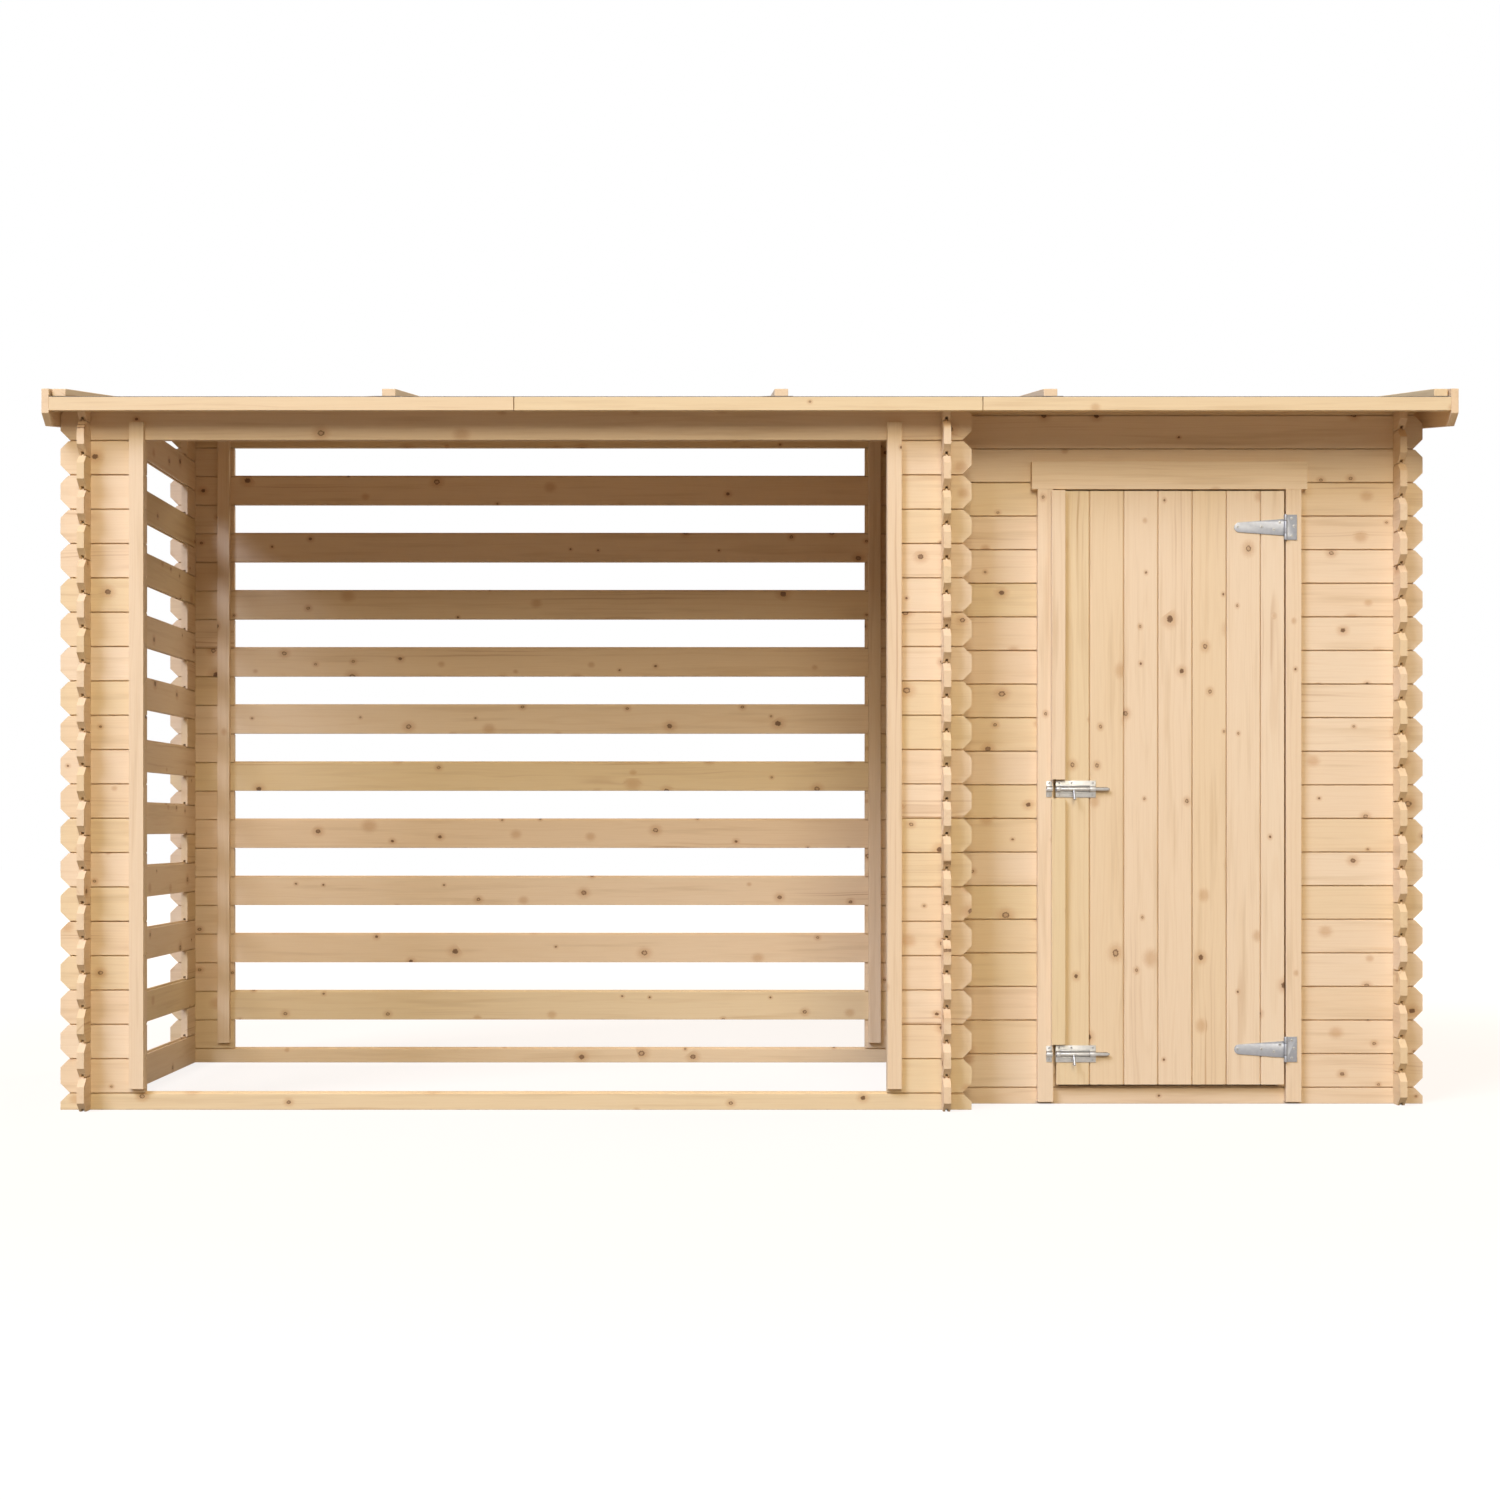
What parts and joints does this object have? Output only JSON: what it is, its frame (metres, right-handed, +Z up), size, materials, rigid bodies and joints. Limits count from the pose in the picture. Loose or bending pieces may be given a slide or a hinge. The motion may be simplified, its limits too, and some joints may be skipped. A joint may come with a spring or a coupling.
{
  "type": "log store with tool shed",
  "caption": "Open slatted firewood bay with a closed tool shed beside it, of interlocking planed boards under a shared pent roof; the shed door has strap hinges and sliding bolts.",
  "frame": {"origin": "on the ground, in the middle of the outer box of the whole building", "axes": "+X along the front from the open bay to the shed, +Y from the front to the higher back, +Z up"},
  "size_m": [3.65, 1.338, 2.0839],
  "materials": {
    "spruce_boards": "planed, untreated",
    "spruce_trim": "planed, untreated",
    "roofing_felt": "mineral surfaced",
    "zinc_plated_steel": "zinc plated",
    "bright_steel": "bright zinc plated"
  },
  "bodies": {
    "building": {"open_front_sill": "spruce_boards", "open_front_left_stub": "spruce_boards", "open_front_right_stub": "spruce_boards", "open_front_lintel": "spruce_boards", "open_side_slats": "spruce_boards", "open_side_front_stubs": "spruce_boards", "open_side_back_stubs": "spruce_boards", "open_back_slats": "spruce_boards", "open_back_left_stubs": "spruce_boards", "open_back_right_stubs": "spruce_boards", "divider_wall": "spruce_boards", "shed_right_wall": "spruce_boards", "shed_back_wall": "spruce_boards", "shed_front_sill": "spruce_boards", "shed_front_left": "spruce_boards", "shed_front_right": "spruce_boards", "shed_front_top": "spruce_boards", "roof_deck": "spruce_boards", "open_front_left_post": "spruce_trim", "open_front_right_post": "spruce_trim", "open_back_left_batten": "spruce_trim", "open_back_right_batten": "spruce_trim", "door_left_post": "spruce_trim", "door_right_post": "spruce_trim", "door_header": "spruce_trim", "roof_battens": "spruce_trim", "front_fascia": "spruce_trim", "back_fascia": "spruce_trim", "left_barge": "spruce_trim", "right_barge": "spruce_trim", "roof_felt": "roofing_felt", "upper_hinge_plate": "zinc_plated_steel", "lower_hinge_plate": "zinc_plated_steel", "upper_bolt_keep": "bright_steel", "lower_bolt_keep": "bright_steel"},
    "door": {"door_leaf": "spruce_boards", "door_upper_ledge": "spruce_trim", "door_lower_ledge": "spruce_trim", "door_brace": "spruce_trim", "door_edge_strip": "spruce_trim", "upper_hinge_strap": "zinc_plated_steel", "lower_hinge_strap": "zinc_plated_steel", "upper_bolt_plate": "bright_steel", "lower_bolt_plate": "bright_steel"},
    "upper_bolt": {"upper_bolt_rod": "bright_steel"},
    "lower_bolt": {"lower_bolt_rod": "bright_steel"}
  },
  "joints": [
    {"name": "door_hinge", "type": "hinge", "parent": "building", "child": "door", "pos_m": [1.4305, -0.4765, 0.8], "axis": [0, 0, 1], "range_deg": [0, 165]},
    {"name": "upper_bolt_slide", "type": "slide", "parent": "door", "child": "upper_bolt", "axis": [-1, 0, 0], "range_m": [0, 0.03]},
    {"name": "lower_bolt_slide", "type": "slide", "parent": "door", "child": "lower_bolt", "axis": [-1, 0, 0], "range_m": [0, 0.03]}
  ]
}
